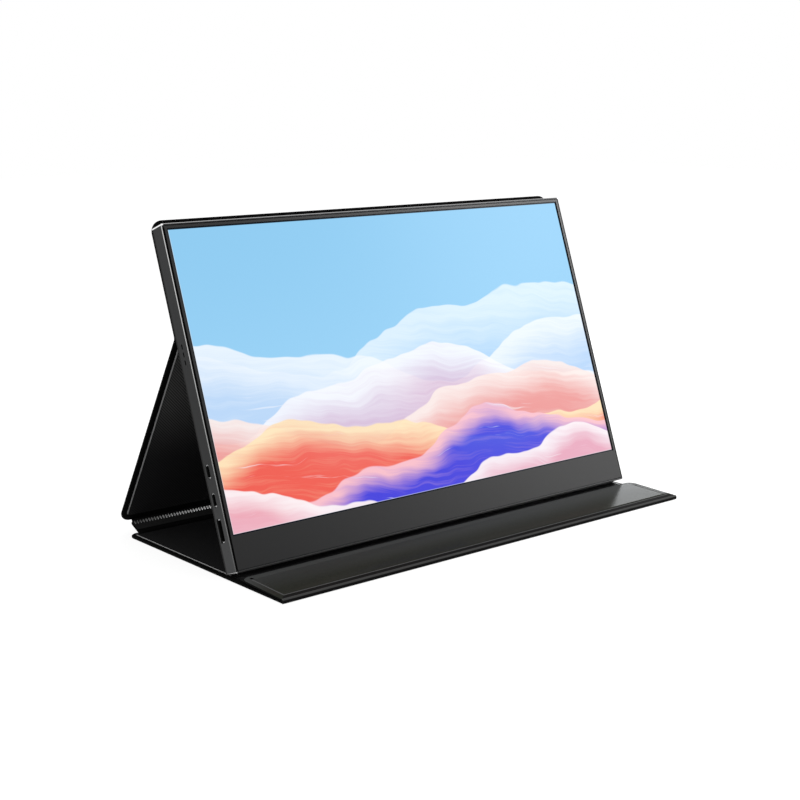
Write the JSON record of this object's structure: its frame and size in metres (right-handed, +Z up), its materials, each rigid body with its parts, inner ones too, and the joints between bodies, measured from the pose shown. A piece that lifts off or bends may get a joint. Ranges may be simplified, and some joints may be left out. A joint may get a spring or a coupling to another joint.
{
  "type": "portable monitor with cover",
  "caption": "Flat portable monitor standing in a folding magnetic cover: a flap, a floor panel, a spine, a leg and a back panel joined by soft folds.",
  "frame": {"origin": "on the table under the middle of the whole object as it stands", "axes": "+X along the width to the viewer's right, the screen faces -Y and leans back towards +Y, +Z up"},
  "size_m": [0.3556, 0.1934, 0.2155],
  "materials": {
    "case_metal": "dark grey brushed and anodised, with a polished front chamfer",
    "back_metal": "dark grey fine-blasted and anodised",
    "bezel_metal": "dark grey satin",
    "button_metal": "dark grey satin",
    "screen_glass": "satin display glass",
    "black_plastic": "moulded black",
    "white_plastic": "moulded white",
    "clear_plastic": "clear acrylic",
    "lamp_strip": "white circuit strip with yellow lamps",
    "amber_film": "amber polyimide film",
    "circuit_board": "green solder mask",
    "steel": "plain steel sheet",
    "screw_steel": "blackened steel",
    "spreader_metal": "plain aluminium",
    "foam_rubber": "black foam",
    "wire_rubber": "red insulated twin wire",
    "flat_cable": "ivory flat cable",
    "magnet_steel": "nickel-plated magnet",
    "cover_leather": "black fine-grained imitation leather with a pressed line inside the edge",
    "cover_lining": "black lining with a fine diagonal twill",
    "cover_board": "pressed stiffener board"
  },
  "bodies": {
    "floor_panel": {"floor_skin": "cover_leather", "floor_board": "cover_board", "floor_lining": "cover_lining", "floor_fold": "cover_leather", "flap_fold": "cover_leather"},
    "flap": {"flap_skin": "cover_leather", "flap_board": "cover_board", "flap_lining": "cover_lining", "flap_magnets": "magnet_steel"},
    "spine": {"spine_skin": "cover_leather", "spine_board": "cover_board", "spine_lining": "cover_lining", "leg_fold": "cover_leather"},
    "leg": {"leg_skin": "cover_leather", "leg_board": "cover_board", "leg_lining": "cover_lining", "back_fold": "cover_leather"},
    "back_panel": {"back_skin": "cover_leather", "back_board": "cover_board", "back_lining": "cover_lining", "back_magnets": "magnet_steel"},
    "monitor": {"case_frame": "case_metal", "back_plate": "back_metal", "front_bezel": "bezel_metal", "chin_support": "black_plastic", "lcd_cell": "screen_glass", "panel_frame": "white_plastic", "optical_films": "white_plastic", "light_guide": "clear_plastic", "reflector_sheet": "white_plastic", "panel_tray": "steel", "led_bar": "lamp_strip", "source_flexes": "amber_film", "driver_board": "circuit_board", "main_board": "circuit_board", "board_parts": "black_plastic", "heat_spreader": "spreader_metal", "usb_ports": "steel", "hdmi_port": "steel", "headphone_jack": "black_plastic", "side_board": "circuit_board", "tact_switches": "steel", "speaker_left": "black_plastic", "speaker_right": "black_plastic", "speaker_gaskets": "foam_rubber", "speaker_wires": "wire_rubber", "panel_cable": "flat_cable", "side_board_cable": "flat_cable", "keeper_plates": "steel", "board_screws": "screw_steel", "case_screws": "screw_steel"},
    "power_button": {"power_button": "button_metal"},
    "menu_rocker": {"menu_rocker": "button_metal"}
  },
  "joints": [
    {"name": "flap_hinge", "type": "hinge", "parent": "floor_panel", "child": "flap", "pos_m": [0, -0.09504, 0.0017], "axis": [1, 0, 0], "range_deg": [0, 178.3], "deforming": ["flap_fold"]},
    {"name": "floor_fold_hinge", "type": "hinge", "parent": "floor_panel", "child": "spine", "pos_m": [0, 0.08446, 0.0008], "axis": [1, 0, 0], "range_deg": [-26.02, 0], "deforming": ["floor_fold"]},
    {"name": "leg_fold_hinge", "type": "hinge", "parent": "spine", "child": "leg", "pos_m": [0, 0.09695, 0.0069], "axis": [1, 0, 0], "range_deg": [-94.32, 0], "deforming": ["leg_fold"]},
    {"name": "back_fold_hinge", "type": "hinge", "parent": "leg", "child": "back_panel", "pos_m": [0, 0.01714, 0.14325], "axis": [1, 0, 0], "range_deg": [0, 50.04], "deforming": ["back_fold"]},
    {"name": "monitor_pull_off", "type": "slide", "parent": "back_panel", "child": "monitor", "axis": [0, -0.9415, 0.3371], "range_m": [0, 0.03]},
    {"name": "power_button_press", "type": "slide", "parent": "monitor", "child": "power_button", "axis": [-1, 0, 0], "range_m": [0, 0.0003], "stiffness_N_per_m": 1500},
    {"name": "menu_rocker_tilt", "type": "hinge", "parent": "monitor", "child": "menu_rocker", "pos_m": [0.1742, -0.02681, 0.0395], "axis": [0, -0.9415, 0.3371], "range_deg": [-2, 2], "stiffness_Nm_per_rad": 0.1}
  ],
  "couplings": [
    {"joint": "floor_fold_hinge", "follows": "leg_fold_hinge", "ratio": 0.27586},
    {"joint": "back_fold_hinge", "follows": "leg_fold_hinge", "ratio": -0.53055}
  ]
}
